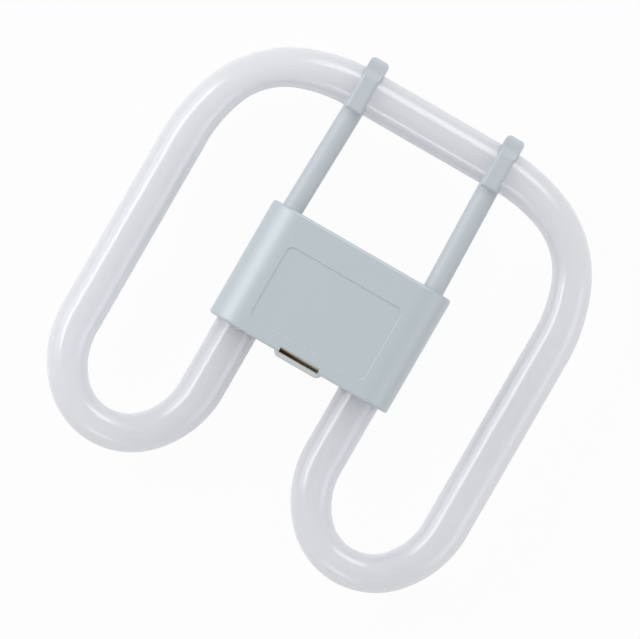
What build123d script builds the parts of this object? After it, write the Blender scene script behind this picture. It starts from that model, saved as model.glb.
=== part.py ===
from build123d import *
from math import atan2, cos, degrees, radians, sin, sqrt
import os

# Square compact fluorescent lamp, lying on its plug block with its lit face up.
# X is across the lamp, Y runs from the two hairpin bends to the clips, and Z is up, out of the front.
# The origin is under the middle of the lamp, in the plane of the plug block's rim.
# All sizes are in millimetres.

# Overall sizes
HALF_HEIGHT = 70.25              # from the middle to the clips' ends, and to the hairpin bends
CAP_WIDTH = 60.4
CAP_DEPTH = 18.9                 # thickness of the cap, without the plug block
CAP_TOP_Y = 19.1
CAP_BOTTOM_Y = -19.5
CAP_WALL = 1.7
CAP_EDGE_R = 0.9
PLUG_DEPTH = 8.6                 # height of the plug block behind the cap

# Discharge tube
TUBE_D = 13.2
ARM_X = 62.45                    # centre line of each outer arm
LEG_X = 20.75                    # centre line of each leg that enters the cap
TOP_Y = 60.1                     # centre line of the top run
HAIRPIN_SQUEEZE = 0.855          # width at the bottom of a hairpin, as a share of the diameter
CORNER_SQUEEZE = 0.875
HAIRPIN_BOTTOM_R = 18.5
HAIRPIN_SIDE_R = 27.0
CORNER_R = 29.0
CORNER_END_R = 51.0
CORNER_END_TURN = 21.5           # degrees that each end arc of a corner turns
LEG_END_Y = -2.0                 # where the round leg stops inside the cap
PINCH_Y = 3.0                    # where the flattened seal starts
PINCH_END_Y = 7.0
PINCH_WIDTH = 12.4
PINCH_THICK = 3.2
TIP_START_R = 1.5
TIP_END_R = 0.9
TIP_LENGTH = 4.0

# Cap details
LEG_CLEARANCE = 0.15
CRADLE_Y = -4.0                  # upper side of the ribs that hold the legs
CRADLE_THICK = 1.4
CRADLE_REACH = 6.0               # how far the ribs reach in from each leg's centre line
PANEL_WIDTH = 39.0
PANEL_HEIGHT = 24.5
PANEL_Y = -2.65
PANEL_CORNER_R = 2.2
PANEL_DEPTH = 0.35
PANEL_SLOPE = 40                 # degrees that the panel's walls lean outward
LIP_HEIGHT = 1.2
LIP_THICK = 0.8
LIP_GAP = 0.05

# Latch eye at the bottom edge of the cap, with its channel and spring
EYE_WIDTH = 16.1
EYE_REACH = 1.4                  # how far it stands out past the cap's bottom edge
EYE_DEPTH = 6.0
EYE_DROP = 0.5                   # its face lies this far behind the cap's front
EYE_CORNER_R = 2.0
EYE_EDGE_R = 0.5
EYE_MOUTH_BEVEL = 0.3
SLOT_WIDTH = 13.3
SLOT_HEIGHT = 1.45
SLOT_TOP_Y = -18.0
CHANNEL_WALL = 1.4
SPRING_THICK = 0.35
SPRING_WIDTH = 13.2
SPRING_BOW = 1.15                # how far the bow stands out from the channel's wall
SPRING_TOP_Z = 25.2
SPRING_BOW_TOP_Z = 24.4
SPRING_BOW_END_Z = 14.4
SPRING_END_Z = 12.4

# Plug block and contact pins
PLUG_WIDTH = 44.0
PLUG_HEIGHT = 26.0
PLUG_CORNER_R = 4.0
WELL_WIDTH = 38.0
WELL_HEIGHT = 20.0
WELL_CORNER_R = 2.0
RIM_BEVEL = 0.7
RIM_LEAD_IN = 0.5
PIN_SPACING = 8.0
PIN_R = 1.175
PIN_TIP_Z = 1.6
PIN_TIP_BEVEL = 0.5
PIN_COLLAR_R = 1.9
PIN_COLLAR_THICK = 0.8
PIN_SPIGOT_R = 0.9
PIN_HEAD_R = 1.6
PIN_HEAD_THICK = 0.7

# Struts and clips
STRUT_R = 3.2
STRUT_Z = 22.0
STRUT_FOOT_X = 24.0
STRUT_TOP_X = 23.1
NECK_R = 2.4
NECK_GAP = 0.05
FOOT_R = 3.4
FOOT_THICK = 2.5
CLIP_FRONT_Z = 26.7
CLIP_START_Y = 53.0
CLIP_SLOPE_Y = 64.0              # where the flat front starts to fall away
CLIP_BLOCK_Y = 66.4              # where it is level again, on the end block
CLIP_BLOCK_Z = 24.4
CLIP_STRAP_WIDTH = 5.4
CLIP_BLOCK_WIDTH = 5.9
CLIP_LIP_Z = 13.2
CLIP_LIP_BEVEL = 1.2
CLIP_GAP = 0.1
CLIP_EDGE_R = 1.0
CLIP_END_R = 1.4                 # rounding of the end block's far face

# Glow starter and its saddles
STARTER_R = 4.0
STARTER_X = 5.6
STARTER_Z = 18.5
STARTER_TIP_Y = -15.8
STARTER_DOME_Y = -10.8           # centre of the round end
STARTER_SHOULDER_Y = 4.6
STARTER_BASE_Y = 6.0
STARTER_BASE_R = 2.8
STARTER_TIP_R = 0.8
STARTER_LEAD_PITCH = 2.8
SADDLE_YS = (-12.5, -5.0)
SADDLE_THICK = 1.2
SADDLE_WIDTH = 10.0
SADDLE_TOP_Z = 17.0

# Suppression capacitor and the cheeks that hold it
CAPACITOR_X = -7.15
CAPACITOR_Y = -8.0
CAPACITOR_WIDTH = 4.5
CAPACITOR_LENGTH = 10.0
CAPACITOR_HEIGHT = 8.5
CAPACITOR_EDGE = 0.5
CAPACITOR_LEAD_PITCH = 2.6
CHEEK_THICK = 1.0
CHEEK_HEIGHT = 4.0
CHEEK_LENGTH = 7.0

# Wiring
LEAD_R = 0.3                     # leads of the starter and the capacitor
LAMP_LEAD_R = 0.4                # lead wires of the tube
LAMP_LEAD_PITCH = 6.4
LEAD_STEP = 0.45                 # leads lie this far above and below a ferrule's centre line
FERRULE_Y = 13.0
FERRULE_START_X = 11.0
FERRULE_LENGTH = 5.0
FERRULE_R = 1.25
RUN_Y = 10.5                     # line of the long leads that go to the pins
RUN_Z = 12.6
SLEEVE_R = 0.85
SLEEVE_START_X = 6.0
SLEEVE_LENGTH = 14.0
SEAL_LENGTH = 4.0

# Derived sizes
tube_r = TUBE_D / 2
tube_z = PLUG_DEPTH + CAP_DEPTH / 2          # mid-plane of the tube, where the two shells part
cap_front_z = PLUG_DEPTH + CAP_DEPTH
floor_z = PLUG_DEPTH + CAP_WALL              # inside face of the cap's back
cap_height = CAP_TOP_Y - CAP_BOTTOM_Y
cap_middle_y = (CAP_TOP_Y + CAP_BOTTOM_Y) / 2
inside_width = CAP_WIDTH - 2 * CAP_WALL
inside_depth = CAP_DEPTH - 2 * CAP_WALL
inside_height = cap_height - 2 * CAP_WALL
inside_top_y = CAP_TOP_Y - CAP_WALL
inside_bottom_y = CAP_BOTTOM_Y + CAP_WALL
tube_plane = Plane.XY.offset(tube_z)

os.makedirs("parts", exist_ok=True)


def save(piece, label):
    """Names a finished piece and writes it to its own file."""
    piece.part.label = label
    export_step(piece.part, f"parts/{label}.step")


def end_view(y):
    """Plane across the lamp at one distance along it, centred on the tube's mid-plane."""
    return Plane(origin=(0, y, tube_z), x_dir=(1, 0, 0), z_dir=(0, -1, 0))


def across(line, where):
    """Plane square to a line at one place on it."""
    return Plane(origin=line @ where, x_dir=(0, 0, 1), z_dir=line % where)


# Centre lines of the bends on the right half of the tube

hairpin_half_width = (ARM_X - LEG_X) / 2
hairpin_drop = sqrt((HAIRPIN_SIDE_R - HAIRPIN_BOTTOM_R) ** 2 - (HAIRPIN_SIDE_R - hairpin_half_width) ** 2)
hairpin_side_turn = degrees(atan2(hairpin_drop, HAIRPIN_SIDE_R - hairpin_half_width))
hairpin_start_y = -HALF_HEIGHT + tube_r * HAIRPIN_SQUEEZE + HAIRPIN_BOTTOM_R + hairpin_drop
end_turn = radians(CORNER_END_TURN)
corner_reach = (
    CORNER_END_R * (1 - cos(end_turn) + sin(end_turn)) + CORNER_R * (cos(end_turn) - sin(end_turn))
)
corner_start_y = TOP_Y - corner_reach

with BuildLine(tube_plane) as hairpin_line:
    inner_arc = JernArc(
        start=(LEG_X, hairpin_start_y),
        tangent=(0, -1),
        radius=HAIRPIN_SIDE_R,
        arc_size=hairpin_side_turn,
    )
    bottom_arc = JernArc(
        start=inner_arc @ 1,
        tangent=inner_arc % 1,
        radius=HAIRPIN_BOTTOM_R,
        arc_size=180 - 2 * hairpin_side_turn,
    )
    JernArc(
        start=bottom_arc @ 1,
        tangent=bottom_arc % 1,
        radius=HAIRPIN_SIDE_R,
        arc_size=hairpin_side_turn,
    )

with BuildLine(tube_plane) as corner_line:
    first_arc = JernArc(
        start=(ARM_X, corner_start_y),
        tangent=(0, 1),
        radius=CORNER_END_R,
        arc_size=CORNER_END_TURN,
    )
    middle_arc = JernArc(
        start=first_arc @ 1,
        tangent=first_arc % 1,
        radius=CORNER_R,
        arc_size=90 - 2 * CORNER_END_TURN,
    )
    JernArc(
        start=middle_arc @ 1,
        tangent=middle_arc % 1,
        radius=CORNER_END_R,
        arc_size=CORNER_END_TURN,
    )


def bend_sections(line, squeeze):
    """The tube's section along a bend: full height, narrowed across the bend at its middle."""
    sections = []
    for where, share in ((0, 1), (0.5, squeeze), (1, 1)):
        with BuildSketch(across(line, where)) as section:
            Ellipse(tube_r, tube_r * share)
        sections.append(section.sketch)
    return sections


# Sealed glass tube, in one piece from pinch to pinch

with BuildPart() as discharge_tube:
    # Leg, from inside the cap down to the hairpin
    with BuildSketch(end_view(LEG_END_Y)):
        with Locations((LEG_X, 0)):
            Circle(tube_r)
    extrude(amount=LEG_END_Y - hairpin_start_y)
    # Outer arm
    with BuildSketch(end_view(corner_start_y)):
        with Locations((ARM_X, 0)):
            Circle(tube_r)
    extrude(amount=corner_start_y - hairpin_start_y)
    # Half of the top run
    with BuildSketch(Plane.YZ):
        with Locations((TOP_Y, tube_z)):
            Circle(tube_r)
    extrude(amount=ARM_X - corner_reach)
    # Hairpin and corner
    for line, squeeze in ((hairpin_line.wire(), HAIRPIN_SQUEEZE), (corner_line.wire(), CORNER_SQUEEZE)):
        sweep(sections=bend_sections(line, squeeze), path=line, multisection=True)
    # Glass drawn in from the round leg to the flat pinch
    with BuildSketch(end_view(LEG_END_Y)):
        with Locations((LEG_X, 0)):
            Circle(tube_r)
    with BuildSketch(end_view(PINCH_Y)):
        with Locations((LEG_X, 0)):
            Ellipse(PINCH_WIDTH / 2, PINCH_THICK / 2)
    loft()
    # Pinch round the lead wires
    with BuildSketch(end_view(PINCH_END_Y)):
        with Locations((LEG_X, 0)):
            Ellipse(PINCH_WIDTH / 2, PINCH_THICK / 2)
    extrude(amount=PINCH_END_Y - PINCH_Y)
    # Sealed exhaust tip
    with BuildSketch(end_view(PINCH_END_Y)):
        with Locations((LEG_X, 0)):
            Circle(TIP_START_R)
    with BuildSketch(end_view(PINCH_END_Y + TIP_LENGTH)):
        with Locations((LEG_X, 0)):
            Circle(TIP_END_R)
    loft()
    mirror(about=Plane.YZ)
save(discharge_tube, "discharge_tube")


def hollow_cap():
    """The whole cap as one hollow moulding, before it is parted at the tube's mid-plane."""
    with BuildPart() as cap:
        with BuildSketch(end_view(CAP_TOP_Y)):
            SlotOverall(CAP_WIDTH, CAP_DEPTH)
        extrude(amount=cap_height)
        fillet(cap.faces().filter_by(Axis.Y).edges(), CAP_EDGE_R)
        with BuildSketch(end_view(inside_top_y)):
            SlotOverall(inside_width, inside_depth)
        extrude(amount=inside_height, mode=Mode.SUBTRACT)
        # Ribs that cradle the legs
        with BuildSketch(end_view(CRADLE_Y)):
            SlotOverall(inside_width, inside_depth)
            Rectangle(2 * (LEG_X - CRADLE_REACH), CAP_DEPTH, mode=Mode.SUBTRACT)
            with Locations((LEG_X, 0), (-LEG_X, 0)):
                Circle(tube_r, mode=Mode.SUBTRACT)
        extrude(amount=CRADLE_THICK)
        # Holes for the legs in the bottom wall
        with BuildSketch(end_view(inside_bottom_y)):
            with Locations((LEG_X, 0), (-LEG_X, 0)):
                Circle(tube_r + LEG_CLEARANCE)
        extrude(amount=CAP_WALL, mode=Mode.SUBTRACT)
        # Latch channel across the bottom wall, with a wall of its own behind it
        with BuildSketch(Plane.XY.offset(floor_z)):
            with Locations((0, SLOT_TOP_Y)):
                Rectangle(EYE_WIDTH, CHANNEL_WALL, align=(Align.CENTER, Align.MIN))
        extrude(amount=inside_depth)
        with BuildSketch(Plane.XY.offset(PLUG_DEPTH)):
            with Locations((0, SLOT_TOP_Y)):
                Rectangle(SLOT_WIDTH, SLOT_TOP_Y - CAP_BOTTOM_Y, align=(Align.CENTER, Align.MAX))
        extrude(amount=CAP_DEPTH, mode=Mode.SUBTRACT)
    return cap.part


# Front half of the cap

with BuildPart() as front_shell:
    add(hollow_cap())
    split(bisect_by=tube_plane, keep=Keep.TOP)
    # Sunken panel on the front
    with BuildSketch(Plane.XY.offset(cap_front_z)):
        with Locations((0, PANEL_Y)):
            RectangleRounded(PANEL_WIDTH, PANEL_HEIGHT, PANEL_CORNER_R)
    extrude(amount=-PANEL_DEPTH, taper=PANEL_SLOPE, mode=Mode.SUBTRACT)
    # Rebate for the rear shell's lip
    with BuildSketch(tube_plane):
        with Locations((0, cap_middle_y)):
            Rectangle(inside_width + 2 * (LIP_THICK + LIP_GAP), inside_height + 2 * (LIP_THICK + LIP_GAP))
            Rectangle(inside_width, inside_height, mode=Mode.SUBTRACT)
    extrude(amount=LIP_HEIGHT + LIP_GAP, mode=Mode.SUBTRACT)
    # Slots in the top wall that drop over the struts' necks
    with BuildSketch(end_view(CAP_TOP_Y)):
        with Locations((STRUT_FOOT_X, STRUT_Z - tube_z), (-STRUT_FOOT_X, STRUT_Z - tube_z)):
            Circle(NECK_R + NECK_GAP)
            Rectangle(2 * (NECK_R + NECK_GAP), STRUT_Z - tube_z, align=(Align.CENTER, Align.MAX))
    extrude(amount=CAP_WALL, mode=Mode.SUBTRACT)
    # Latch eye round the mouth of the channel
    with BuildSketch(Plane.XY.offset(cap_front_z - EYE_DROP)):
        with Locations((0, inside_bottom_y)):
            RectangleRounded(EYE_WIDTH, 2 * (CAP_WALL + EYE_REACH), EYE_CORNER_R)
            Rectangle(
                EYE_WIDTH,
                CAP_WALL + EYE_REACH,
                align=(Align.CENTER, Align.MAX),
                mode=Mode.INTERSECT,
            )
            Rectangle(
                SLOT_WIDTH,
                inside_bottom_y - SLOT_TOP_Y + SLOT_HEIGHT,
                align=(Align.CENTER, Align.MAX),
                mode=Mode.SUBTRACT,
            )
    extrude(amount=-EYE_DEPTH)
    eye_face_z = cap_front_z - EYE_DROP
    eye_rim = (
        front_shell.edges()
        .filter_by_position(Axis.Z, eye_face_z - 0.01, eye_face_z + 0.01)
        .filter_by_position(Axis.Y, CAP_BOTTOM_Y - EYE_REACH, CAP_BOTTOM_Y - EYE_REACH / 2)
    )
    fillet(eye_rim, EYE_EDGE_R)
    # Bevels along both long sides of the eye's mouth
    for mouth_y, mouth_z in ((SLOT_TOP_Y, cap_front_z), (SLOT_TOP_Y - SLOT_HEIGHT, eye_face_z)):
        mouth_edge = (
            front_shell.edges()
            .filter_by(Axis.X)
            .filter_by_position(Axis.Y, mouth_y - 0.01, mouth_y + 0.01)
            .filter_by_position(Axis.Z, mouth_z - 0.01, mouth_z + 0.01)
        )
        chamfer(mouth_edge, EYE_MOUTH_BEVEL)
save(front_shell, "front_shell")

# Rear half of the cap, with the plug block

with BuildPart() as rear_shell:
    add(hollow_cap())
    split(bisect_by=tube_plane, keep=Keep.BOTTOM)
    # Plug block, with a well that takes the holder's plug
    with BuildSketch(Plane.XY):
        RectangleRounded(PLUG_WIDTH, PLUG_HEIGHT, PLUG_CORNER_R)
    extrude(amount=PLUG_DEPTH + CAP_WALL / 2)
    with BuildSketch(Plane.XY):
        RectangleRounded(WELL_WIDTH, WELL_HEIGHT, WELL_CORNER_R)
    extrude(amount=PLUG_DEPTH, mode=Mode.SUBTRACT)
    chamfer(rear_shell.faces().sort_by(Axis.Z)[0].outer_wire().edges(), RIM_BEVEL)
    chamfer(rear_shell.faces().sort_by(Axis.Z)[0].inner_wires().edges(), RIM_LEAD_IN)
    # Holes for the contact pins
    with BuildSketch(Plane.XY.offset(PLUG_DEPTH)):
        with GridLocations(PIN_SPACING, 0, 2, 1):
            Circle(PIN_SPIGOT_R)
    extrude(amount=CAP_WALL, mode=Mode.SUBTRACT)
    # Lip that locates the front shell, open at the channel, the legs and the struts
    with BuildSketch(tube_plane):
        with Locations((0, cap_middle_y)):
            Rectangle(inside_width + 2 * LIP_THICK, inside_height + 2 * LIP_THICK)
            Rectangle(inside_width, inside_height, mode=Mode.SUBTRACT)
        with Locations((0, inside_bottom_y)):
            Rectangle(SLOT_WIDTH, 2 * CAP_WALL, mode=Mode.SUBTRACT)
        with Locations((LEG_X, inside_bottom_y), (-LEG_X, inside_bottom_y)):
            Rectangle(2 * (tube_r + LEG_CLEARANCE), 2 * CAP_WALL, mode=Mode.SUBTRACT)
        with Locations((STRUT_FOOT_X, inside_top_y), (-STRUT_FOOT_X, inside_top_y)):
            Rectangle(2 * (NECK_R + NECK_GAP), 2 * CAP_WALL, mode=Mode.SUBTRACT)
    extrude(amount=LIP_HEIGHT)
    # Tongues that close on the struts' necks
    with BuildSketch(end_view(CAP_TOP_Y)):
        with Locations((STRUT_FOOT_X, 0), (-STRUT_FOOT_X, 0)):
            Rectangle(2 * NECK_R, STRUT_Z - tube_z, align=(Align.CENTER, Align.MIN))
        with Locations((STRUT_FOOT_X, STRUT_Z - tube_z), (-STRUT_FOOT_X, STRUT_Z - tube_z)):
            Circle(NECK_R + NECK_GAP, mode=Mode.SUBTRACT)
    extrude(amount=CAP_WALL)
    # Saddles for the starter
    for saddle_y in SADDLE_YS:
        with BuildSketch(end_view(saddle_y)):
            with Locations((STARTER_X, floor_z - tube_z)):
                Rectangle(SADDLE_WIDTH, SADDLE_TOP_Z - floor_z, align=(Align.CENTER, Align.MIN))
            with Locations((STARTER_X, STARTER_Z - tube_z)):
                Circle(STARTER_R, mode=Mode.SUBTRACT)
        extrude(amount=SADDLE_THICK)
    # Cheeks for the capacitor
    with BuildSketch(Plane.XY.offset(floor_z)):
        with Locations((CAPACITOR_X, CAPACITOR_Y)):
            with GridLocations(CAPACITOR_WIDTH + CHEEK_THICK, 0, 2, 1):
                Rectangle(CHEEK_THICK, CHEEK_LENGTH)
    extrude(amount=CHEEK_HEIGHT)
save(rear_shell, "rear_shell")

# Bowed strip that lies in the latch channel, behind the eye

spring_y = SLOT_TOP_Y - SPRING_THICK / 2
with BuildPart() as latch_spring:
    with BuildSketch(Plane.YZ):
        with BuildLine():
            Line((spring_y, SPRING_TOP_Z), (spring_y, SPRING_BOW_TOP_Z))
            ThreePointArc(
                (spring_y, SPRING_BOW_TOP_Z),
                (spring_y - SPRING_BOW, (SPRING_BOW_TOP_Z + SPRING_BOW_END_Z) / 2),
                (spring_y, SPRING_BOW_END_Z),
            )
            Line((spring_y, SPRING_BOW_END_Z), (spring_y, SPRING_END_Z))
        trace(line_width=SPRING_THICK)
    extrude(amount=SPRING_WIDTH / 2, both=True)
save(latch_spring, "latch_spring")

# Struts from the cap to the top run of the tube, each with a snap hook at its end

for side, hand in ((-1, "left"), (1, "right")):
    foot_x = side * STRUT_FOOT_X
    top_x = side * STRUT_TOP_X
    with BuildPart() as strut:
        # Rod, leaning in a little on its way to the clip, trimmed flush with the cap
        lean = Vector(top_x - foot_x, CLIP_START_Y - CAP_TOP_Y, 0).normalized()
        rod_foot = Vector(foot_x, CAP_TOP_Y, STRUT_Z)
        rod_reach = (TOP_Y - STRUT_R - CAP_TOP_Y) / lean.Y
        with BuildSketch(Plane(origin=rod_foot - lean * STRUT_R, z_dir=lean)):
            Circle(STRUT_R)
        extrude(amount=STRUT_R + rod_reach)
        split(bisect_by=end_view(CAP_TOP_Y), keep=Keep.BOTTOM)
        # Foot behind the cap's top wall, cut to the inside of the cap
        with BuildSketch(end_view(inside_top_y)):
            with Locations((foot_x, STRUT_Z - tube_z)):
                Circle(FOOT_R)
            SlotOverall(inside_width - 2 * NECK_GAP, inside_depth - 2 * NECK_GAP, mode=Mode.INTERSECT)
        extrude(amount=FOOT_THICK)
        # Neck through the wall
        with BuildSketch(end_view(CAP_TOP_Y)):
            with Locations((foot_x, STRUT_Z - tube_z)):
                Circle(NECK_R)
        extrude(amount=CAP_WALL)
        # Strap over the front of the tube
        with BuildSketch(Plane.YZ.offset(top_x)):
            with BuildLine():
                Polyline(
                    (CLIP_START_Y, STRUT_Z),
                    (CLIP_START_Y, CLIP_FRONT_Z),
                    (CLIP_SLOPE_Y, CLIP_FRONT_Z),
                    (CLIP_BLOCK_Y, CLIP_BLOCK_Z),
                    (CLIP_BLOCK_Y, tube_z),
                    (TOP_Y, tube_z),
                    close=True,
                )
            make_face()
        extrude(amount=CLIP_STRAP_WIDTH / 2, both=True)
        # End block that hooks round the far side of the tube
        with BuildSketch(Plane.YZ.offset(top_x)):
            with BuildLine():
                Polyline(
                    (CLIP_SLOPE_Y, CLIP_LIP_Z),
                    (CLIP_SLOPE_Y, CLIP_BLOCK_Z),
                    (HALF_HEIGHT, CLIP_BLOCK_Z),
                    (HALF_HEIGHT, CLIP_LIP_Z + CLIP_LIP_BEVEL),
                    (HALF_HEIGHT - CLIP_LIP_BEVEL, CLIP_LIP_Z),
                    close=True,
                )
            make_face()
        extrude(amount=CLIP_BLOCK_WIDTH / 2, both=True)
        # Room for the tube
        with BuildSketch(Plane.YZ.offset(top_x)):
            with Locations((TOP_Y, tube_z)):
                Circle(tube_r + CLIP_GAP)
        extrude(amount=CLIP_BLOCK_WIDTH, both=True, mode=Mode.SUBTRACT)
        # Rounded edges
        strap_front = strut.faces().filter_by(Axis.Z).sort_by(Axis.Z)[-1]
        fillet(strap_front.edges().sort_by(Axis.Y)[:-1], CLIP_EDGE_R)
        block_end = strut.faces().filter_by(Axis.Y).sort_by(Axis.Y)[-1]
        fillet(block_end.edges().sort_by(Axis.Z)[1:], CLIP_END_R)
    save(strut, f"{hand}_strut")

# Contact pins, riveted through the floor of the well

for side, hand in ((-1, "left"), (1, "right")):
    pin_x = side * PIN_SPACING / 2
    with BuildPart() as contact_pin:
        with BuildSketch(Plane.XZ):
            with BuildLine():
                Polyline(
                    (pin_x, PIN_TIP_Z),
                    (pin_x + PIN_R, PIN_TIP_Z),
                    (pin_x + PIN_R, PLUG_DEPTH - PIN_COLLAR_THICK),
                    (pin_x + PIN_COLLAR_R, PLUG_DEPTH - PIN_COLLAR_THICK),
                    (pin_x + PIN_COLLAR_R, PLUG_DEPTH),
                    (pin_x + PIN_SPIGOT_R, PLUG_DEPTH),
                    (pin_x + PIN_SPIGOT_R, floor_z),
                    (pin_x + PIN_HEAD_R, floor_z),
                    (pin_x + PIN_HEAD_R, floor_z + PIN_HEAD_THICK),
                    (pin_x, floor_z + PIN_HEAD_THICK),
                    close=True,
                )
            make_face()
        revolve(axis=Axis((pin_x, 0, 0), (0, 0, 1)))
        chamfer(contact_pin.faces().sort_by(Axis.Z)[0].edges(), PIN_TIP_BEVEL)
    save(contact_pin, f"{hand}_contact_pin")

# Rings of sealant that bed the legs in the cap

for side, hand in ((-1, "left"), (1, "right")):
    with BuildPart() as tube_seal:
        with BuildSketch(end_view(inside_bottom_y + SEAL_LENGTH)):
            with Locations((side * LEG_X, 0)):
                Circle(inside_depth / 2)
                Circle(tube_r, mode=Mode.SUBTRACT)
        extrude(amount=SEAL_LENGTH)
    save(tube_seal, f"{hand}_tube_seal")

# Glow starter, a sealed glass bulb

with BuildPart() as starter_bulb:
    with BuildSketch(Plane.XY.offset(STARTER_Z)):
        with BuildLine():
            dome = CenterArc((STARTER_X, STARTER_DOME_Y), STARTER_R, -90, 90)
            Polyline(
                dome @ 1,
                (STARTER_X + STARTER_R, STARTER_SHOULDER_Y),
                (STARTER_X + STARTER_BASE_R, STARTER_BASE_Y),
                (STARTER_X, STARTER_BASE_Y),
                dome @ 0,
            )
        make_face()
        # Sealed tip on the round end
        with Locations((STARTER_X, STARTER_DOME_Y)):
            Rectangle(STARTER_TIP_R, STARTER_DOME_Y - STARTER_TIP_Y, align=(Align.MIN, Align.MAX))
    revolve(axis=Axis((STARTER_X, 0, STARTER_Z), (0, 1, 0)))
save(starter_bulb, "starter_bulb")

# Suppression capacitor, a dipped block that stands on the floor between its cheeks

with BuildPart() as capacitor:
    with BuildSketch(Plane.XY.offset(floor_z)):
        with Locations((CAPACITOR_X, CAPACITOR_Y)):
            RectangleRounded(CAPACITOR_WIDTH, CAPACITOR_LENGTH, CAPACITOR_EDGE)
    extrude(amount=CAPACITOR_HEIGHT)
    chamfer(capacitor.faces().sort_by(Axis.Z)[-1].edges(), CAPACITOR_EDGE / 2)
save(capacitor, "capacitor")

# Crimp ferrules, leads and sleeves on either side


def bent_wire(points, radius):
    """A thin round wire, folded square at each of its corners."""
    with BuildPart() as wire:
        with BuildLine() as route:
            Polyline(*points)
        with BuildSketch(Plane(origin=route.line @ 0, z_dir=route.line % 0)):
            Circle(radius)
        sweep(transition=Transition.RIGHT)
    return wire


for side, hand in ((-1, "left"), (1, "right")):
    ferrule_x = side * FERRULE_START_X
    leg_x = side * LEG_X

    with BuildPart() as ferrule:
        with BuildSketch(Plane.YZ.offset(ferrule_x)):
            with Locations((FERRULE_Y, tube_z)):
                Circle(FERRULE_R)
        extrude(amount=side * FERRULE_LENGTH)
    save(ferrule, f"{hand}_ferrule")

    # From the starter to the ferrule
    starter_lead_x = STARTER_X + side * STARTER_LEAD_PITCH / 2
    upper_z = tube_z + LEAD_STEP
    starter_lead = bent_wire(
        (
            (starter_lead_x, STARTER_BASE_Y, upper_z),
            (starter_lead_x, FERRULE_Y, upper_z),
            (ferrule_x, FERRULE_Y, upper_z),
        ),
        LEAD_R,
    )
    save(starter_lead, f"{hand}_starter_lead")

    # From the capacitor to the ferrule
    capacitor_lead_x = CAPACITOR_X + side * CAPACITOR_LEAD_PITCH / 2
    lower_z = tube_z - LEAD_STEP
    capacitor_lead = bent_wire(
        (
            (capacitor_lead_x, CAPACITOR_Y + CAPACITOR_LENGTH / 2, lower_z),
            (capacitor_lead_x, FERRULE_Y, lower_z),
            (ferrule_x, FERRULE_Y, lower_z),
        ),
        LEAD_R,
    )
    save(capacitor_lead, f"{hand}_capacitor_lead")

    # From the tube's pinch to the ferrule
    inner_lead_x = leg_x - side * LAMP_LEAD_PITCH / 2
    link_lead = bent_wire(
        (
            (inner_lead_x, PINCH_END_Y, tube_z),
            (inner_lead_x, FERRULE_Y, tube_z),
            (ferrule_x + side * FERRULE_LENGTH, FERRULE_Y, tube_z),
        ),
        LAMP_LEAD_R,
    )
    save(link_lead, f"{hand}_link_lead")

    # From the tube's pinch down and in to the contact pin
    outer_lead_x = leg_x + side * LAMP_LEAD_PITCH / 2
    pin_x = side * PIN_SPACING / 2
    pin_lead = bent_wire(
        (
            (outer_lead_x, PINCH_END_Y, tube_z),
            (outer_lead_x, RUN_Y, tube_z),
            (outer_lead_x, RUN_Y, RUN_Z),
            (pin_x, RUN_Y, RUN_Z),
            (pin_x, 0, RUN_Z),
            (pin_x, 0, floor_z + PIN_HEAD_THICK),
        ),
        LAMP_LEAD_R,
    )
    save(pin_lead, f"{hand}_pin_lead")

    with BuildPart() as lead_sleeve:
        with BuildSketch(Plane.YZ.offset(side * SLEEVE_START_X)):
            with Locations((RUN_Y, RUN_Z)):
                Circle(SLEEVE_R)
                Circle(LAMP_LEAD_R, mode=Mode.SUBTRACT)
        extrude(amount=side * SLEEVE_LENGTH)
    save(lead_sleeve, f"{hand}_lead_sleeve")
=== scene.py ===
# %% [markdown]
# # A square compact fluorescent lamp
# The lamp is one long glass tube, folded into a square with two hairpin bends at its open side.
# Both ends of the tube go into a flat moulded cap, and two plastic struts reach from the cap to the
# far side of the square, where each one hooks round the tube. Powder inside the glass makes it look
# white. The measured parts come ready made, as a frame that must not move. This script gives each
# of them its finish, models the glass again as a smoother mesh, and sets up the floor, the light
# and the camera.

# %% Load the measured parts
from math import atan2, cos, pi, radians, sin, sqrt

import bpy
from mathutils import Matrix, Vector


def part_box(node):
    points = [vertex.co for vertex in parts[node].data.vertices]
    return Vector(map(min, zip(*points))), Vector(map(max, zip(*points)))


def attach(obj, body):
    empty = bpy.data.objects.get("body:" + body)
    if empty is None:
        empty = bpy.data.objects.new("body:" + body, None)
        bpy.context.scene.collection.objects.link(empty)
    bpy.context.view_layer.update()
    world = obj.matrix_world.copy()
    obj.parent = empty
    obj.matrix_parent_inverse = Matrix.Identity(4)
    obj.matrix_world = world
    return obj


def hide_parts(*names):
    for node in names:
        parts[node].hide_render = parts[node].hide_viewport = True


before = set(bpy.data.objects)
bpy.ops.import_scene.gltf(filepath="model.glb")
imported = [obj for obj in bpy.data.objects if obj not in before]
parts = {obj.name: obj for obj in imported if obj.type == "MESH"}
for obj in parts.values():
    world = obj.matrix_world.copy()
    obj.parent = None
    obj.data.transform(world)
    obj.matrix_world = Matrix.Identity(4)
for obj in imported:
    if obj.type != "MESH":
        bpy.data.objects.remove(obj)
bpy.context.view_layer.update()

# %% [markdown]
# ## Shader sums that read like sums
# A finish is a small network of nodes. Most of it is arithmetic, and arithmetic is easier to check
# as a line of Python than as a row of boxes. So one little class wraps a socket, and its operators
# add Math nodes. The reflected forms make `1 - mask` work as well as `mask - 1`.

# %% A socket with operators


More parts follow.
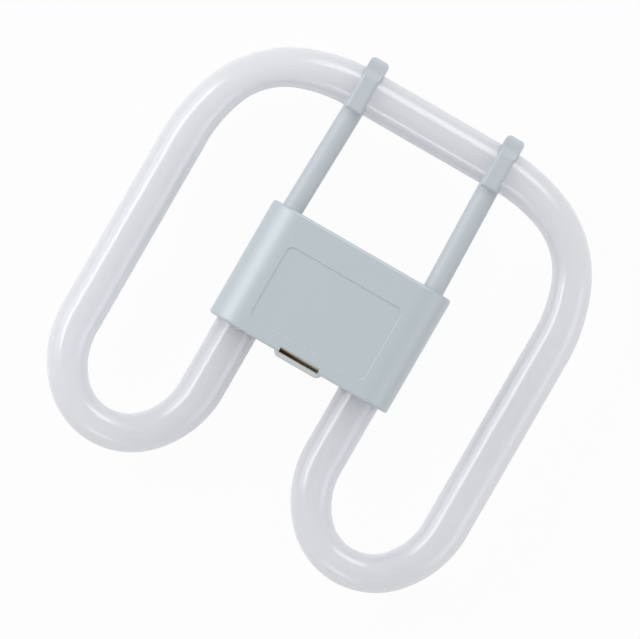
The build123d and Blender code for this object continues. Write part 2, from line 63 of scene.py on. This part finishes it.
class Wire:
    """The output of a node, which can be used in a sum."""

    def __init__(self, finish, output):
        self.finish = finish
        self.output = output

    def sum_with(self, operation, first, second):
        return self.finish.node("ShaderNodeMath", {"operation": operation}, {0: first, 1: second})

    def __add__(self, other):
        return self.sum_with("ADD", self, other)

    def __sub__(self, other):
        return self.sum_with("SUBTRACT", self, other)

    def __rsub__(self, other):
        return self.sum_with("SUBTRACT", other, self)

    def __mul__(self, other):
        return self.sum_with("MULTIPLY", self, other)

    def at_least(self, other):
        return self.sum_with("MAXIMUM", self, other)

    def at_most(self, other):
        return self.sum_with("MINIMUM", self, other)

    __radd__ = __add__
    __rmul__ = __mul__


# %% [markdown]
# ## One way to add a node
# Every other node comes from one method. It sets the node's own settings first, because some of
# them change which sockets the node has, and then gives each socket a value or a link.

# %% A material as a page to write nodes on


class Finish:
    """A material with an empty node tree, or the world's tree, and short ways to fill it."""

    def __init__(self, name, tree=None):
        if tree is None:
            self.material = bpy.data.materials.new(name)
            self.material.use_nodes = True
            tree = self.material.node_tree
        self.tree = tree
        self.tree.nodes.clear()

    def node(self, kind, settings=None, sockets=None, output=0):
        made = self.tree.nodes.new(kind)
        for setting, value in (settings or {}).items():
            setattr(made, setting, value)
        for socket, value in (sockets or {}).items():
            if isinstance(value, Wire):
                self.tree.links.new(value.output, made.inputs[socket])
            else:
                made.inputs[socket].default_value = value
        return Wire(self, made.outputs[output])

    def place(self):
        return self.node("ShaderNodeTexCoord", output="Object")

    def place_along(self, axis):
        """How far along X, Y or Z a point lies, in metres."""
        return self.node("ShaderNodeSeparateXYZ", None, {0: self.place()}, output=axis)

    def noise(self, size, detail, stretch=(1, 1, 1)):
        """Soft random values from 0 to 1, with blotches about this size in metres."""
        stretched = self.node(
            "ShaderNodeVectorMath",
            {"operation": "MULTIPLY"},
            {0: self.place(), 1: stretch},
        )
        return self.node(
            "ShaderNodeTexNoise",
            {"noise_dimensions": "3D"},
            {"Vector": stretched, "Scale": 1 / size, "Detail": detail},
            output="Fac",
        )

    def between(self, first, second, amount):
        """One colour turning into another."""
        return self.node(
            "ShaderNodeMix",
            {"data_type": "RGBA", "clamp_factor": True},
            {0: amount, 6: first, 7: second},
            output=2,
        )

    def relief(self, height, depth, strength):
        """Normals for bumps of this depth in metres."""
        return self.node(
            "ShaderNodeBump",
            None,
            {"Height": height, "Distance": depth, "Strength": strength},
        )

    def surface(self, **sockets):
        """The material, with these sockets of its one Principled shader filled."""
        named = {name.replace("_", " "): value for name, value in sockets.items()}
        shader = self.node("ShaderNodeBsdfPrincipled", None, named)
        self.end_with(shader)
        return self.material

    def end_with(self, shader, kind="ShaderNodeOutputMaterial"):
        """Gives the shader to the tree's output."""
        end = self.tree.nodes.new(kind)
        self.tree.links.new(shader.output, end.inputs["Surface"])


# %% [markdown]
# ## Colours as they look
# A colour is easiest to name as the eye sees it, on a scale of 0 to 255. The renderer works with
# amounts of light instead, so one function turns the first into the second.

# %% From seen colour to light


def seen(red, green, blue):
    """Amounts of light for a colour that a screen shows with these values."""

    def light(value):
        share = value / 255
        return share / 12.92 if share <= 0.04045 else ((share + 0.055) / 1.055) ** 2.4

    return (light(red), light(green), light(blue), 1.0)


print("mid grey is", round(seen(128, 128, 128)[0], 3), "of the light")

# %% [markdown]
# ## The glass
# The tube is clear glass with a white powder baked on its inside. Real layers of glass and powder
# would be slow to render and would look the same from outside. So the powder is the rough base of
# the shader, and the glass is its clear coat: the base takes the soft shading, and the coat takes
# the reflections.
#
# Light goes into the powder on one side and comes out on the other, so both sides of the tube look
# nearly alike though most of the light is on the left. A long subsurface radius does that. The
# powder is never quite even, and two noises change its colour a little, one in long clouds and one
# in grains.
#
# Towards the tube's outline the coat would mirror the white room ever more strongly, and the
# outline would melt into the paper. So its weight falls there, by how far the surface is turned
# away from the eye.

# %% Powdered glass

CLOUD_SIZE = 0.022
GRAIN_SIZE = 0.0005
GRAIN_SHARE = 0.25               # how much of the grains' own white shows
GLOW_REACH = 0.14                # subsurface radius in metres, as long as the lamp itself
COAT_FADE = 1.8                  # the coat is whole where the surface faces the eye by over 1/1.8


def powdered_glass():
    finish = Finish("powdered_glass")
    clouds = finish.noise(CLOUD_SIZE, detail=3)
    grains = finish.noise(GRAIN_SIZE, detail=1)
    thin = finish.between(seen(235, 237, 254), seen(242, 243, 255), clouds)
    powder = finish.between(thin, seen(250, 250, 254), grains * GRAIN_SHARE)
    turned = finish.node("ShaderNodeLayerWeight", None, {"Blend": 0.5}, output="Facing")
    coat = ((1 - turned) * COAT_FADE).at_most(1.0)
    return finish.surface(
        Base_Color=powder,
        Roughness=0.45 + 0.15 * clouds,
        Normal=finish.relief(grains, depth=0.00001, strength=0.4),
        Specular_IOR_Level=0.0,
        Subsurface_Weight=1.0,
        Subsurface_Radius=(GLOW_REACH, GLOW_REACH, GLOW_REACH),
        Subsurface_Scale=1.0,
        Coat_Weight=coat,
        Coat_Roughness=0.18,
        Coat_IOR=1.6,
    )


glass = powdered_glass()
print("made", glass.name)

# %% [markdown]
# ## The cap's plastic
# The cap is moulded in a grey, slightly blue plastic from a mould with a fine matt texture. Up
# close that texture is a field of tiny pits, so a fine noise drives both the bumps and the
# roughness. A wide, faint noise shifts the colour, as the flow of the plastic does. The cap has a
# satin skin besides, which gives its rounded left side a broad sheen, and so it gets a rough coat
# that the struts don't have.
#
# The latch eye at the cap's lower edge is given a paler, less blue grey than the rest of the cap.
# It is all that stands out past that edge, so how far down a point lies is mask enough.

# %% Where the latch eye begins

EYE_REACH = 0.0014               # how far the eye stands out past the cap's lower edge
EYE_FADE = 0.0004                # over this length the colour changes
eye_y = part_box("front_shell")[0].y + EYE_REACH
print("latch eye below", round(1000 * eye_y, 2), "mm")

# %% Moulded plastic for the cap and the struts

FLOW_SIZE = 0.03
PIT_SIZE = 0.00045


def moulded_plastic(name, dark, pale, roughness, pit_depth, shine, satin, eye_colour=None):
    """Pitted plastic; satin is the weight of its skin, and the last argument the colour of the
    latch eye.
    """
    finish = Finish(name)
    flow = finish.noise(FLOW_SIZE, detail=3, stretch=(1.0, 0.4, 1.0))
    pits = finish.noise(PIT_SIZE, detail=2)
    colour = finish.between(dark, pale, flow)
    if eye_colour is not None:
        on_eye = ((eye_y - finish.place_along("Y")) * (1 / EYE_FADE)).at_least(0.0).at_most(1.0)
        colour = finish.between(colour, eye_colour, on_eye)
    return finish.surface(
        Base_Color=colour,
        Roughness=roughness - 0.05 + 0.1 * pits,
        Normal=finish.relief(pits, depth=pit_depth, strength=0.5),
        Specular_IOR_Level=shine,
        Coat_Weight=satin,
        Coat_Roughness=0.45,
        Coat_IOR=1.5,
    )


shell_plastic = moulded_plastic(
    "shell_plastic",
    dark=seen(185, 195, 198),
    pale=seen(191, 201, 204),
    roughness=0.46,
    pit_depth=0.00002,
    shine=1.0,
    satin=1.0,
    eye_colour=seen(199, 200, 197),
)
strut_plastic = moulded_plastic(
    "strut_plastic",
    dark=seen(197, 204, 208),
    pale=seen(203, 209, 213),
    roughness=0.45,
    pit_depth=0.00001,
    shine=0.5,
    satin=0.0,
)
print("made", shell_plastic.name, "and", strut_plastic.name)

# %% [markdown]
# ## Metals
# The contact pins are brass turned on a lathe, the ferrules are pressed from sheet, and the leads
# are drawn wire. One recipe serves them all: two tones mixed by a noise that is stretched along the
# work, with the same noise in the roughness.

# %% Worked metal

MARK_SIZE = 0.0012
MARK_DEPTH = 0.000008


def worked_metal(name, dark, pale, roughness, stretch):
    finish = Finish(name)
    marks = finish.noise(MARK_SIZE, detail=3, stretch=stretch)
    return finish.surface(
        Base_Color=finish.between(dark, pale, marks),
        Metallic=1.0,
        Roughness=roughness + 0.15 * marks,
        Normal=finish.relief(marks, depth=MARK_DEPTH, strength=0.4),
    )


pin_brass = worked_metal(
    "pin_brass", seen(186, 154, 92), seen(214, 186, 124), roughness=0.22, stretch=(1, 1, 6)
)
ferrule_metal = worked_metal(
    "ferrule_metal", seen(168, 170, 172), seen(196, 198, 200), roughness=0.30, stretch=(0.3, 1, 1)
)
lead_wire = worked_metal(
    "lead_wire", seen(150, 150, 148), seen(188, 188, 186), roughness=0.35, stretch=(1, 1, 1)
)
print("made", pin_brass.name, ferrule_metal.name, lead_wire.name)

# %% [markdown]
# ## The latch spring
# The spring is bronze strip, and the shader's metallic share is less than half. Its colour runs
# from brown at one end to a paler olive at the other: that change is painted shade along the slot
# the strip sits in, darker at the end where X is least, laid over the strip's own bronze. How far
# along the strip a point lies mixes the two colours, and the marks of rolling unsettle the border
# between them.

# %% Bronze with painted shade along it

ROLLING_SIZE = 0.0006
BORDER_WANDER = 0.1              # how far the marks move the border, as a share of the width
spring_low, spring_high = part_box("latch_spring")
spring_width = spring_high.x - spring_low.x


def bronze_with_painted_shade():
    """Brown where X is least on the strip, olive where it is most: painted shade along the slot."""
    finish = Finish("spring_bronze")
    marks = finish.noise(ROLLING_SIZE, detail=3, stretch=(0.3, 1, 1))
    brown = finish.between(seen(182, 144, 106), seen(194, 158, 120), marks)
    olive = finish.between(seen(208, 203, 178), seen(216, 212, 190), marks)
    across = finish.place_along("X") * (1 / spring_width)
    # painted shade: the colour darkens towards the end of the strip where X is least
    painted_shade_spread = 0.5 + across + BORDER_WANDER * (marks - 0.5)
    return finish.surface(
        Base_Color=finish.between(brown, olive, painted_shade_spread),
        Metallic=0.45,
        Roughness=0.4 + 0.15 * marks,
        Normal=finish.relief(marks, depth=MARK_DEPTH, strength=0.4),
    )


spring_bronze = bronze_with_painted_shade()
print("made", spring_bronze.name, "for a strip", round(1000 * spring_width, 1), "mm wide")

# %% [markdown]
# ## What the cap hides
# Nobody sees the inside unless the cap is opened, yet each piece still has its own finish: rubbery
# sealant, the clear bulb of the starter, the dipped skin of the capacitor and woven sleeves on the
# long leads.

# %% Finishes for the inner pieces

HAZE_SIZE = 0.004


def soft_skin(name, dark, pale, roughness, grain, depth):
    finish = Finish(name)
    skin = finish.noise(grain, detail=3)
    return finish.surface(
        Base_Color=finish.between(dark, pale, skin),
        Roughness=roughness - 0.1 + 0.2 * skin,
        Normal=finish.relief(skin, depth, strength=0.6),
    )


def starter_glass():
    finish = Finish("starter_glass")
    haze = finish.noise(HAZE_SIZE, detail=2)
    return finish.surface(
        Base_Color=finish.between(seen(214, 220, 220), seen(235, 238, 238), haze),
        Roughness=0.05 + 0.1 * haze,
        Transmission_Weight=0.6,
        IOR=1.5,
    )


seal_silicone = soft_skin(
    "seal_silicone",
    dark=seen(196, 196, 190),
    pale=seen(218, 218, 212),
    roughness=0.5,
    grain=0.003,
    depth=0.0001,
)
capacitor_coat = soft_skin(
    "capacitor_coat",
    dark=seen(150, 74, 34),
    pale=seen(176, 96, 46),
    roughness=0.35,
    grain=0.002,
    depth=0.00004,
)
sleeve_fibre = soft_skin(
    "sleeve_fibre",
    dark=seen(206, 202, 190),
    pale=seen(232, 229, 220),
    roughness=0.8,
    grain=0.0004,
    depth=0.00005,
)
starter_bulb_glass = starter_glass()
print("made", seal_silicone.name, capacitor_coat.name, sleeve_fibre.name, starter_bulb_glass.name)

# %% [markdown]
# ## A finish for every part
# Each part has a plain name, so a short table of name endings says which finish it gets. The last
# word of a name, such as `lead` in `left_pin_lead`, is the same on the left and on the right.

# %% Put the finishes on

FINISHES = {
    "shell": shell_plastic,
    "strut": strut_plastic,
    "spring": spring_bronze,
    "pin": pin_brass,
    "ferrule": ferrule_metal,
    "lead": lead_wire,
    "seal": seal_silicone,
    "bulb": starter_bulb_glass,
    "capacitor": capacitor_coat,
    "sleeve": sleeve_fibre,
    "tube": glass,
}
for name, part in parts.items():
    finish = FINISHES[name.split("_")[-1]]
    if not part.material_slots:
        part.data.materials.append(finish)
    for slot in part.material_slots:
        slot.material = finish
print("finished", len(parts), "parts")

# %% [markdown]
# ## The centre line of the tube
# A tube is a section carried along a line. The line can be walked: start at the sealed end inside
# the cap, go straight, turn, go straight again. Each bend is three arcs in a row, wide, tight and
# wide, because hot glass bends most in the middle. The sizes come from the frame: the box round the
# tube gives its diameter, and the ring of sealant gives the place of the leg.

# %% Sizes of the tube from the frame

tube_low, tube_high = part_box("discharge_tube")
seal_low, seal_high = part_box("right_tube_seal")
tube_r = (tube_high.z - tube_low.z) / 2
tube_z = (tube_high.z + tube_low.z) / 2
arm_x = tube_high.x - tube_r
leg_x = (seal_low.x + seal_high.x) / 2
top_y = tube_high.y - tube_r
print("tube", round(2000 * tube_r, 2), "mm thick, arm at", round(1000 * arm_x, 2), "mm")

# %% [markdown]
# ## Walking the line
# A walker holds a place, a heading and how wide the tube is there. Each step leaves one station
# behind. In a bend the tube narrows towards the middle and widens again, which a parabola in the
# angle turned describes.

# %% A walker that leaves stations behind

BEND_STEP = radians(2.5)
FEWEST_STEPS = 4


class Walker:
    """Moves in the tube's mid-plane and notes place, heading, half width and half height."""

    def __init__(self, place, heading):
        self.place = Vector(place)
        self.heading = heading
        self.stations = []

    def note(self, across=1.0):
        self.stations.append((self.place.copy(), self.heading, across * tube_r, tube_r))

    def straight(self, length, stops):
        for stop in range(stops):
            self.place += Vector((cos(self.heading), sin(self.heading))) * length / stops
            self.note()

    def bend(self, arcs, squeeze):
        whole = sum(turn for radius, turn in arcs)
        turned = 0.0
        for radius, turn in arcs:
            steps = max(FEWEST_STEPS, round(turn / BEND_STEP))
            for step in range(steps):
                middle = self.heading + turn / steps / 2
                chord = 2 * radius * sin(turn / steps / 2)
                self.place += Vector((cos(middle), sin(middle))) * chord
                self.heading += turn / steps
                turned += turn / steps
                share = turned / whole
                self.note(across=1 - (1 - squeeze) * 4 * share * (1 - share))


# %% Walk the right half of the tube

LEG_END_Y = -0.002
HAIRPIN_SQUEEZE = 0.855          # width at the bottom of a hairpin, as a share of the diameter
HAIRPIN_SIDE_R = 0.027
HAIRPIN_BOTTOM_R = 0.0185
CORNER_SQUEEZE = 0.875           # width in the middle of a corner
CORNER_END_R = 0.051
CORNER_R = 0.029
CORNER_END_TURN = radians(21.5)

half_span = (arm_x - leg_x) / 2
drop = sqrt((HAIRPIN_SIDE_R - HAIRPIN_BOTTOM_R) ** 2 - (HAIRPIN_SIDE_R - half_span) ** 2)
side_turn = atan2(drop, HAIRPIN_SIDE_R - half_span)
hairpin_y = tube_low.y + tube_r * HAIRPIN_SQUEEZE + HAIRPIN_BOTTOM_R + drop
corner_reach = CORNER_END_R * (1 - cos(CORNER_END_TURN) + sin(CORNER_END_TURN)) + CORNER_R * (
    cos(CORNER_END_TURN) - sin(CORNER_END_TURN)
)
corner_y = top_y - corner_reach

walk = Walker((leg_x, LEG_END_Y), -pi / 2)
walk.note()
walk.straight(LEG_END_Y - hairpin_y, stops=6)
walk.bend(
    [
        (HAIRPIN_SIDE_R, side_turn),
        (HAIRPIN_BOTTOM_R, pi - 2 * side_turn),
        (HAIRPIN_SIDE_R, side_turn),
    ],
    HAIRPIN_SQUEEZE,
)
walk.straight(corner_y - hairpin_y, stops=12)
walk.bend(
    [
        (CORNER_END_R, CORNER_END_TURN),
        (CORNER_R, pi / 2 - 2 * CORNER_END_TURN),
        (CORNER_END_R, CORNER_END_TURN),
    ],
    CORNER_SQUEEZE,
)
walk.straight(arm_x - corner_reach, stops=5)
print(len(walk.stations), "stations, ending", [round(1000 * c, 3) for c in walk.place], "mm")

# %% [markdown]
# ## The sealed end
# Inside the cap the glass is drawn in and squeezed flat round the lead wires, with a thin tip where
# the air was pumped out. It is hidden, but the mesh has to close somewhere, so it closes as the
# real tube does.

# %% Stations of the pinch and the tip

PINCH_Y = 0.003
PINCH_END_Y = 0.007
PINCH_ACROSS = 0.0062
PINCH_UP = 0.0016
TIP_END_Y = 0.011
TIP_R = 0.0012
TIP_END_R = TIP_R * 0.75
NECKING_STEPS = 8

sealed_end = [
    (Vector((leg_x, TIP_END_Y)), -pi / 2, TIP_END_R, TIP_END_R),
    (Vector((leg_x, PINCH_END_Y)), -pi / 2, TIP_R, TIP_R),
    (Vector((leg_x, PINCH_END_Y)), -pi / 2, PINCH_ACROSS, PINCH_UP),
]
for step in range(NECKING_STEPS):
    share = step / NECKING_STEPS
    y = PINCH_Y + (LEG_END_Y - PINCH_Y) * share
    across = PINCH_ACROSS + (tube_r - PINCH_ACROSS) * share
    up = PINCH_UP + (tube_r - PINCH_UP) * share
    sealed_end.append((Vector((leg_x, y)), -pi / 2, across, up))
stations = sealed_end + walk.stations
print(len(stations), "stations on the right half")

# %% [markdown]
# ## From stations to a skin
# At each station stands a ring of points, an ellipse across the line. Neighbouring rings are joined
# by four-sided faces, which shade more smoothly than triangles. The left half is the right half
# mirrored, so its rings follow in reverse order, and the two ends close with one face each.

# %% Build the glass

RING_POINTS = 72
SHARP_FROM = radians(50)         # only the edges of the pinch are sharper than this


def ring(station):
    """Points of the ellipse that stands across the line at a station."""
    centre, heading, across, up = station
    side = Vector((-sin(heading), cos(heading)))
    points = []
    for k in range(RING_POINTS):
        angle = 2 * pi * k / RING_POINTS
        spot = centre + side * across * cos(angle)
        points.append((spot.x, spot.y, tube_z + up * sin(angle)))
    return points


right_rings = [ring(station) for station in stations]
left_rings = [[(-x, y, z) for x, y, z in points] for points in reversed(right_rings[:-1])]
rings = right_rings + left_rings
faces = [tuple(range(RING_POINTS))]
for r in range(len(rings) - 1):
    for k in range(RING_POINTS):
        after = (k + 1) % RING_POINTS
        here = r * RING_POINTS
        there = here + RING_POINTS
        faces.append((here + after, here + k, there + k, there + after))
last = (len(rings) - 1) * RING_POINTS
faces.append(tuple(last + k for k in reversed(range(RING_POINTS))))

skin = bpy.data.meshes.new("glass_tube")
skin.from_pydata([point for points in rings for point in points], [], faces)
skin.polygons.foreach_set("use_smooth", [True] * len(skin.polygons))
skin.set_sharp_from_angle(angle=SHARP_FROM)
glass_tube = bpy.data.objects.new("glass_tube", skin)
bpy.context.scene.collection.objects.link(glass_tube)
glass_tube.data.materials.append(glass)
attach(glass_tube, "root")
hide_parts("discharge_tube")
print("glass tube of", len(faces), "faces")

# %% [markdown]
# ## Floor and background
# The lamp lies on a plain white sheet. To the camera the sheet has to look paper white, and so does
# what metal and glass reflect, but it should still catch a soft shadow. So its shader mixes plain
# white with an ordinary matt surface, and the Light Path node says which kind of ray is asking.

# %% White sheet that keeps the shadow

SHEET_SIDE = 4.0
SHEET_Z = -0.00005               # a hair below the lamp, so that no two faces lie in one plane
SHADOW_SHARE = 0.05              # of the matt surface, in what the camera sees


def white_seen(finish):
    """1 for rays from the camera or from a shiny or clear surface, and 0 for soft light."""
    camera = finish.node("ShaderNodeLightPath", output="Is Camera Ray")
    glossy = finish.node("ShaderNodeLightPath", output="Is Glossy Ray")
    through = finish.node("ShaderNodeLightPath", output="Is Transmission Ray")
    return camera.at_least(glossy).at_least(through)


def white_sheet():
    finish = Finish("white_sheet")
    matt = finish.node("ShaderNodeBsdfDiffuse", None, {"Color": seen(228, 229, 231)})
    white = finish.node("ShaderNodeEmission", None, {"Color": (1, 1, 1, 1), "Strength": 1.0})
    mixed = finish.node(
        "ShaderNodeMixShader",
        None,
        {0: white_seen(finish) * (1 - SHADOW_SHARE), 1: matt, 2: white},
    )
    finish.end_with(mixed)
    return finish.material


half = SHEET_SIDE / 2
sheet_mesh = bpy.data.meshes.new("sheet")
corners = [(-half, -half), (half, -half), (half, half), (-half, half)]
sheet_mesh.from_pydata([(x, y, SHEET_Z) for x, y in corners], [], [(0, 1, 2, 3)])
sheet = bpy.data.objects.new("sheet", sheet_mesh)
sheet.data.materials.append(white_sheet())
bpy.context.scene.collection.objects.link(sheet)
print("sheet", SHEET_SIDE, "m wide")

# %% [markdown]
# ## The room
# The world is the light that comes from everywhere. It is kept below full strength for the soft
# light on the object, and is paper white where the camera or a shiny surface looks at it.

# %% World light

ROOM_STRENGTH = 0.38
ROOM_COLOUR = (0.97, 0.985, 1.0, 1.0)

world = bpy.data.worlds.new("room")
world.use_nodes = True
bpy.context.scene.world = world
room = Finish("room", tree=world.node_tree)
strength = ROOM_STRENGTH + (1 - ROOM_STRENGTH) * white_seen(room)
glow = room.node("ShaderNodeBackground", None, {"Color": ROOM_COLOUR, "Strength": strength})
room.end_with(glow, "ShaderNodeOutputWorld")
print("room light", ROOM_STRENGTH)

# %% [markdown]
# ## Lamps
# The long bright line on each arm of the tube is the picture of a soft box in the glass. Where such
# a line lies tells where its lamp stands: the line's own normal points halfway between the lamp and
# the camera. A large box on the left gives the main line, a second one beyond the top run gives the
# broad line there, and a small one towards the hairpins gives the thin line below it.
#
# Three wide panels give no lines of their own, because they are dim. The low one on the left makes
# the sheen on the cap's rounded side, and the ones on the right and at the hairpins lift the shaded
# sides. All stand far off, so that the left arm gets hardly more light than the right one.

# %% Soft boxes round the lamp

TARGET = Vector((0, 0, tube_z))
LAMP_DISTANCE = 1.6
LAMP_COLOUR = (0.965, 0.97, 1.0)  # a faintly cool white


def soft_box(name, bearing, tilt, width, height, brightness):
    """A lamp that faces the target: bearing is round from +X, tilt is down from straight above."""
    turn, lean = radians(bearing), radians(tilt)
    away = Vector((sin(lean) * cos(turn), sin(lean) * sin(turn), cos(lean)))
    light = bpy.data.lights.new(name, "AREA")
    light.shape = "RECTANGLE"
    light.color = LAMP_COLOUR
    light.size = width
    light.size_y = height
    light.energy = brightness * pi * width * height
    lamp = bpy.data.objects.new(name, light)
    lamp.location = TARGET + away * LAMP_DISTANCE
    lamp.rotation_mode = "QUATERNION"
    lamp.rotation_quaternion = away.to_track_quat("Z", "Y")
    bpy.context.scene.collection.objects.link(lamp)
    print(name, "gives", round(light.energy, 2), "W")


soft_box("main_box", bearing=180, tilt=50, width=1.07, height=0.50, brightness=4.8)
soft_box("far_box", bearing=90, tilt=57, width=0.90, height=0.84, brightness=3.4)
soft_box("near_box", bearing=270, tilt=59, width=0.40, height=0.21, brightness=4.5)
soft_box("near_panel", bearing=270, tilt=68, width=1.40, height=0.54, brightness=0.5)
soft_box("left_panel", bearing=182, tilt=72, width=1.40, height=0.60, brightness=1.6)
soft_box("right_panel", bearing=0, tilt=70, width=1.40, height=0.90, brightness=1.25)

# %% [markdown]
# ## Camera
# The photograph looks straight down at the lit face through a long lens, with the lamp turned a
# little clockwise. Turning the camera the other way gives the same picture and leaves the object
# alone.

# %% Camera straight above

PHOTO_WIDTH = 640
PIXEL = 0.0002957                # metres of lamp that one pixel spans
ROLL = radians(30)
CAMERA_HEIGHT = 3.0
LOOK_AT = Vector((-0.00066, -0.0051, tube_z))
SENSOR_WIDTH = 36.0              # millimetres

lens = bpy.data.cameras.new("camera")
lens.sensor_width = SENSOR_WIDTH
lens.lens = SENSOR_WIDTH * CAMERA_HEIGHT / (PHOTO_WIDTH * PIXEL)
lens.clip_end = 20
camera = bpy.data.objects.new("camera", lens)
camera.location = LOOK_AT + Vector((0, 0, CAMERA_HEIGHT))
camera.rotation_euler = (0, 0, ROLL)
bpy.context.scene.collection.objects.link(camera)
bpy.context.scene.camera = camera
bpy.context.scene.view_settings.view_transform = "Standard"
print("lens", round(lens.lens), "mm")
